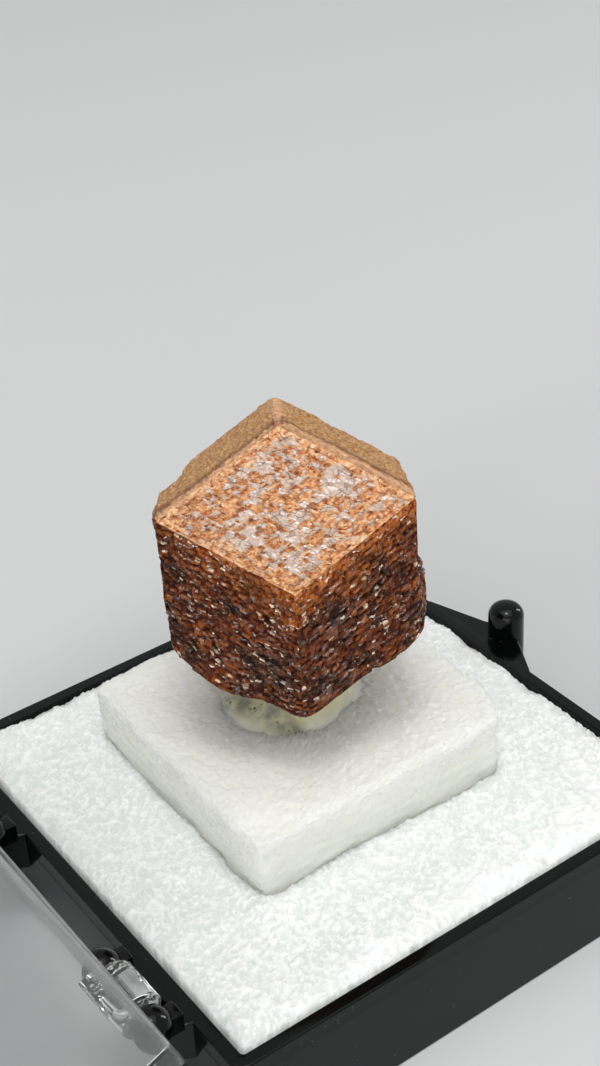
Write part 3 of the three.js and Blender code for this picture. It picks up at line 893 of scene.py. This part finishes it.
def clearMaterial():
    # Crystal polystyrene, injection moulded: clear as glass with a bright gloss, faintly wavy,
    # hazed by handling in soft patches, and left matt on the rim where the mould parted
    material, add = newMaterial("polystyreneClear")
    place = add("TexCoord").outputs["Object"]
    haze = add("TexNoise", inputs={"Vector": place, "Scale": 1 / (5 * mm), "Detail": 5})
    hazed = add("MapRange", inputs={"Value": haze, 1: 0.45, 2: 0.8, 3: 0.01, 4: 0.12})
    matt = add("Attribute", {"attribute_name": "matt"}).outputs["Fac"]
    gloss = add("Math", timesPlus, {0: matt, 1: 0.3, 2: hazed})
    sink = add("TexNoise", inputs={"Vector": place, "Scale": 1 / (9 * mm), "Detail": 1})
    bump = add("Bump", inputs={"Strength": 0.2, "Distance": 0.12 * mm, "Height": sink})
    colour = add("ValToRGB", inputs={"Fac": haze}, stops=[(0.4, "FFFFFF"), (0.8, "F8FBFB")])
    shader = add("BsdfPrincipled", inputs={
        "Base Color": colour, "Roughness": gloss, "IOR": 1.59,
        "Transmission Weight": 1.0, "Normal": bump})
    add("OutputMaterial", inputs={"Surface": shader})
    return material


def squareShell(name, half, section):
    # a round-cornered square box swept from its wall's section: each step of the section is
    # how far it stands in from the outside, and its height
    rows = []
    arc = 6
    for inset, height in section:
        radius = max(boxLook["corner"] - inset, 0.25)
        centre = half - inset - radius
        for corner in range(4):
            turn = math.pi / 2 * corner
            cornerX = centre * math.copysign(1, math.cos(turn + math.pi / 4))
            cornerY = centre * math.copysign(1, math.sin(turn + math.pi / 4))
            for step in range(arc + 1):
                at = turn + math.pi / 2 * step / arc
                rows.append((cornerX + radius * math.cos(at), cornerY + radius * math.sin(at), height))
    columns = 4 * (arc + 1)
    faces = gridFaces(len(section), columns, True).tolist()
    faces.append(list(range(columns))[::-1])
    faces.append(list(range(len(rows) - columns, len(rows))))
    return newPiece(name, rows, faces)


def oblong(low, high, middle, half):
    # the corners of a rectangle: its two ends along X, its middle along Y and half its width
    return [(low, middle - half), (high, middle - half), (high, middle + half), (low, middle + half)]


def prism(name, outline, low, high, edge):
    # an outline stood up between two heights, with rounded edges
    points = [(x, y, height) for height in (low, high) for x, y in outline]
    count = len(outline)
    faces = [list(range(count))[::-1], list(range(count, 2 * count))]
    faces += [(i, (i + 1) % count, count + (i + 1) % count, count + i) for i in range(count)]
    solid = newPiece(name, points, faces)
    if edge:
        rounding = bmesh.new()
        rounding.from_mesh(solid.data)
        sharp = [line for line in rounding.edges if line.calc_face_angle() > math.radians(25)]
        bmesh.ops.bevel(rounding, geom=sharp, offset=edge, segments=3, profile=0.5, affect="EDGES")
        rounding.to_mesh(solid.data)
        rounding.free()
    return solid


def turned(name, profile, axis, place, count=48):
    # a profile of (radius, height) turned about an axis through a place
    spin = Vector((0, 0, 1)).rotation_difference(Vector(axis)).to_matrix()
    points = []
    for radius, height in profile:
        for step in range(count):
            turn = 2 * math.pi * step / count
            point = spin @ Vector((radius * math.cos(turn), radius * math.sin(turn), height))
            points.append(point + Vector(place))
    faces = gridFaces(len(profile), count, True).tolist()
    faces.append(list(range(count))[::-1])
    faces.append(list(range(len(points) - count, len(points))))
    return newPiece(name, points, faces)


def ball(name, radius, place):
    turns = np.linspace(-math.pi / 2, math.pi / 2, 25)[1:-1]
    profile = [(radius * math.cos(turn), radius * math.sin(turn)) for turn in turns]
    return turned(name, profile, (0, 0, 1), place)


def combine(body, others, operation):
    # joins solids to a body or cuts them away from it, as one closed mesh
    for other in others:
        step = body.modifiers.new("step", "BOOLEAN")
        step.operation = operation
        step.solver = "EXACT"
        step.object = other
        evaluated = body.evaluated_get(bpy.context.evaluated_depsgraph_get())
        result = bpy.data.meshes.new_from_object(evaluated)
        body.modifiers.clear()
        body.data = result
        bpy.data.objects.remove(other)
    return body


def finishMoulding(piece, material, place):
    # millimetres to metres, smooth round its rounded edges, and flat between them
    piece.data.transform(place @ Matrix.Scale(mm, 4))
    piece.data.materials.clear()
    piece.data.materials.append(material)
    piece.data.polygons.foreach_set("use_smooth", [True] * len(piece.data.polygons))
    piece.data.set_sharp_from_angle(angle=math.radians(38))
    piece.modifiers.new("shading", "WEIGHTED_NORMAL").keep_sharp = True


hinge = frame["joints"][0]
hingeX = hinge["pos_m"][0] / mm
hingeZ = hinge["pos_m"][2] / mm
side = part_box("base_tray")[1].y / mm  # half the box's width
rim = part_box("foam_liner")[1].z / mm - 0.2  # the tray's top edge
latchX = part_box("base_tray")[1].x / mm - boxLook["post"]
quarter = [(math.cos(turn), math.sin(turn)) for turn in np.linspace(0, math.pi / 2, 5)]


def buildTray():
    look = boxLook
    edge = look["edge"]
    wall = look["trayWall"]
    section = [(edge, 0), (edge * 0.3, edge * 0.3), (0, edge), (0, rim - 1.1), (0.05, rim - 1.0)]
    section += [(0.05 + edge * (1 - c), rim - edge + edge * s) for c, s in quarter]
    section += [(wall - edge * (1 - c), rim - edge + edge * s) for c, s in quarter[::-1]]
    section.append((wall, look["trayFloor"]))
    tray = squareShell("tray", side, section)
    parts = []
    low = rim - look["shoulderDepth"]
    root, tip, out = look["shoulderHalf"], look["shoulderTip"], side + look["shoulder"]
    for middle in look["hingeMiddles"]:
        outline = [(-side + 0.3, middle + root), (-side, middle + root), (-out, middle + tip),
                   (-out, middle - tip), (-side, middle - root), (-side + 0.3, middle - root)]
        parts.append(prism("shoulder", outline, low, rim - 0.01, edge))
        for offset in (-look["ballOffset"], look["ballOffset"]):
            at = middle + offset
            neck = oblong(hingeX, -side - 0.3, at, look["neckHalf"])
            parts.append(prism("neck", neck, rim - 0.4, hingeZ + 0.35, 0.1))
            parts.append(ball("ball", look["ball"], (hingeX, at, hingeZ)))
    latchY = look["latchY"]
    near, far = look["latchEnds"]
    latch = [(side - 0.3, near), (side, near), (latchX, latchY - look["post"]),
             (latchX, latchY + look["post"]), (side + 1.3, latchY + 1.7), (side, far),
             (side - 0.3, far)]
    parts.append(prism("latchShoulder", latch, low, rim - 0.01, edge))
    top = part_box("base_tray")[1].z / mm
    dome = look["post"] * 0.75
    profile = [(look["post"], low + 0.01)]
    for turn in np.linspace(0, math.pi / 2, 9)[:-1]:
        profile.append((look["post"] * math.cos(turn) ** 0.8, top - dome + dome * math.sin(turn)))
    parts.append(turned("post", profile + [(0.02, top)], (0, 0, 1), (latchX, latchY, 0)))
    combine(tray, parts, "UNION")
    notches = []
    reach = look["knuckleHalf"] + look["gap"]
    room = look["knuckle"] + look["gap"]
    for middle in look["hingeMiddles"]:
        notch = oblong(-side - 2.4, hingeX + room, middle, reach)
        notches.append(prism("notch", notch, hingeZ - room, hingeZ + 1.3, 0))
    combine(tray, notches, "DIFFERENCE")
    finishMoulding(tray, blackMaterial(), Matrix.Identity(4))
    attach(tray, "base")
    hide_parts("base_tray")


def buildLid():
    # made shut, then swung open about the hinge to where it leans
    look = boxLook
    edge = look["edge"]
    wall = look["lidWall"]
    bottom = rim + look["gap"]
    top = rim + look["lidHeight"]
    bend = look["lidRound"]
    section = [(bend * (1 - s), top - bend * (1 - c)) for c, s in quarter]
    section += [(0, bottom + 0.6)]
    section += [(edge * (1 - c), bottom + edge * (1 - s)) for c, s in quarter]
    section += [(wall - edge * (1 - s), bottom + edge * (1 - c)) for c, s in quarter]
    section += [(wall, bottom + 0.6)]
    section += [(wall + bend * (1 - c), top - wall - bend * (1 - s)) for c, s in quarter]
    lid = squareShell("clearLid", side, section)
    lid.data.flip_normals()
    parts = []
    thick, half = look["knuckle"], look["knuckleHalf"]
    endRound = [(0.12, 0), (0.03, 0.04), (0, 0.12)]  # mm in and along, at a barrel's rounded ends
    for middle in look["hingeMiddles"]:
        profile = [(thick - inward, -half + along) for inward, along in endRound]
        profile += [(thick - inward, half - along) for inward, along in endRound[::-1]]
        barrel = turned("barrel", profile, (0, 1, 0), (hingeX, middle, hingeZ), 64)
        web = oblong(hingeX + 0.6, -side + 0.4, middle, half - 0.02)
        combine(barrel, [prism("web", web, bottom + 0.01, bottom + 1.5, 0.08)], "UNION")
        flat = oblong(hingeX - 3, hingeX - look["knuckleFlat"], middle, 3)
        cuts = [prism("flat", flat, hingeZ - 3, hingeZ + 3, 0)]
        for offset in (-look["ballOffset"], look["ballOffset"]):
            place = (hingeX, middle + offset, hingeZ)
            cuts.append(ball("socket", look["ball"] + look["gap"], place))
        parts.append(combine(barrel, cuts, "DIFFERENCE"))
    reach, latchY = look["tab"], look["latchY"]
    outline = [(side - 0.4, latchY - reach)]
    for turn in np.linspace(-math.pi / 2, math.pi / 2, 25):
        outline.append((latchX + reach * math.cos(turn), latchY + reach * math.sin(turn)))
    outline.append((side - 0.4, latchY + reach))
    tab = prism("tab", outline, bottom + 0.01, bottom + look["tabThick"], 0.08)
    room = look["post"] + look["gap"]
    hole = turned("hole", [(room, -3), (room, 3)], (0, 0, 1), (latchX, latchY, bottom))
    combine(tab, [hole], "DIFFERENCE")
    combine(lid, [*parts, tab], "UNION")
    heights = np.array([point.co.z for point in lid.data.vertices])
    outside = np.array([point.co.x for point in lid.data.vertices]) < 0.01 - side
    addValues(lid, "matt", ((heights < bottom + 0.3) & ~outside).astype(float))
    pivot = Matrix.Translation(Vector(hinge["pos_m"]))
    swing = Matrix.Rotation(math.radians(-hinge["range_deg"][0]), 4, Vector(hinge["axis"]))
    finishMoulding(lid, clearMaterial(), pivot @ swing @ pivot.inverted())
    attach(lid, "cover")
    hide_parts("lid")


buildTray()
buildLid()
print("box made")


# Floor, lights and the light of the room

studio = {
    "floor": "C4C6C6",
    "floorHalf": 12,  # m
    "room": 0.5,
    "aim": (0, 0, 15),  # mm, where the softboxes point
    "softboxes": {  # the way to it, its distance, width and height in m, and its power in W
        "overhead": ((-0.11, -0.20, 0.975), 0.5, 0.5, 0.5, 0.92),
        "lamp": ((-0.11, -0.20, 0.975), 0.48, 0.12, 0.12, 0.5),
        "left": ((-0.95, -0.15, 0.42), 0.45, 0.06, 0.2, 0.75),
        "right": ((0.95, -0.1, 0.4), 0.45, 0.06, 0.2, 0.4),
        "front": ((-0.62, -0.72, 0.28), 0.6, 0.5, 0.3, 0.78),
    },
}


def buildStudio():
    material, add = newMaterial("floorPaper")
    shader = add("BsdfPrincipled", inputs={"Base Color": studio["floor"], "Roughness": 0.8})
    add("OutputMaterial", inputs={"Surface": shader})
    half = studio["floorHalf"]
    corners = [(x, y, 0) for x, y in oblong(-half, half, 0, half)]
    floor = newPiece("floor", corners, [(0, 1, 2, 3)], material)
    world = bpy.data.worlds.new("room")
    bpy.context.scene.world = world
    world.use_nodes = True
    world.node_tree.nodes.clear()
    add = functools.partial(addNode, world.node_tree)
    light = add("Background", inputs={"Color": "FFFFFF", "Strength": studio["room"]})
    add("OutputWorld", inputs={"Surface": light})


def addSoftbox(name, direction, distance, width, height, power):
    data = bpy.data.lights.new(name, "AREA")
    data.shape = "RECTANGLE"
    data.size = width
    data.size_y = height
    data.energy = power
    light = bpy.data.objects.new(name, data)
    bpy.context.scene.collection.objects.link(light)
    toward = Vector(direction).normalized()
    light.location = Vector(studio["aim"]) * mm + toward * distance
    light.rotation_mode = "QUATERNION"
    light.rotation_quaternion = toward.to_track_quat("Z", "Y")


buildStudio()
for boxName, settings in studio["softboxes"].items():
    addSoftbox(boxName, *settings)
bpy.context.scene.view_settings.view_transform = "Standard"
print("studio set")
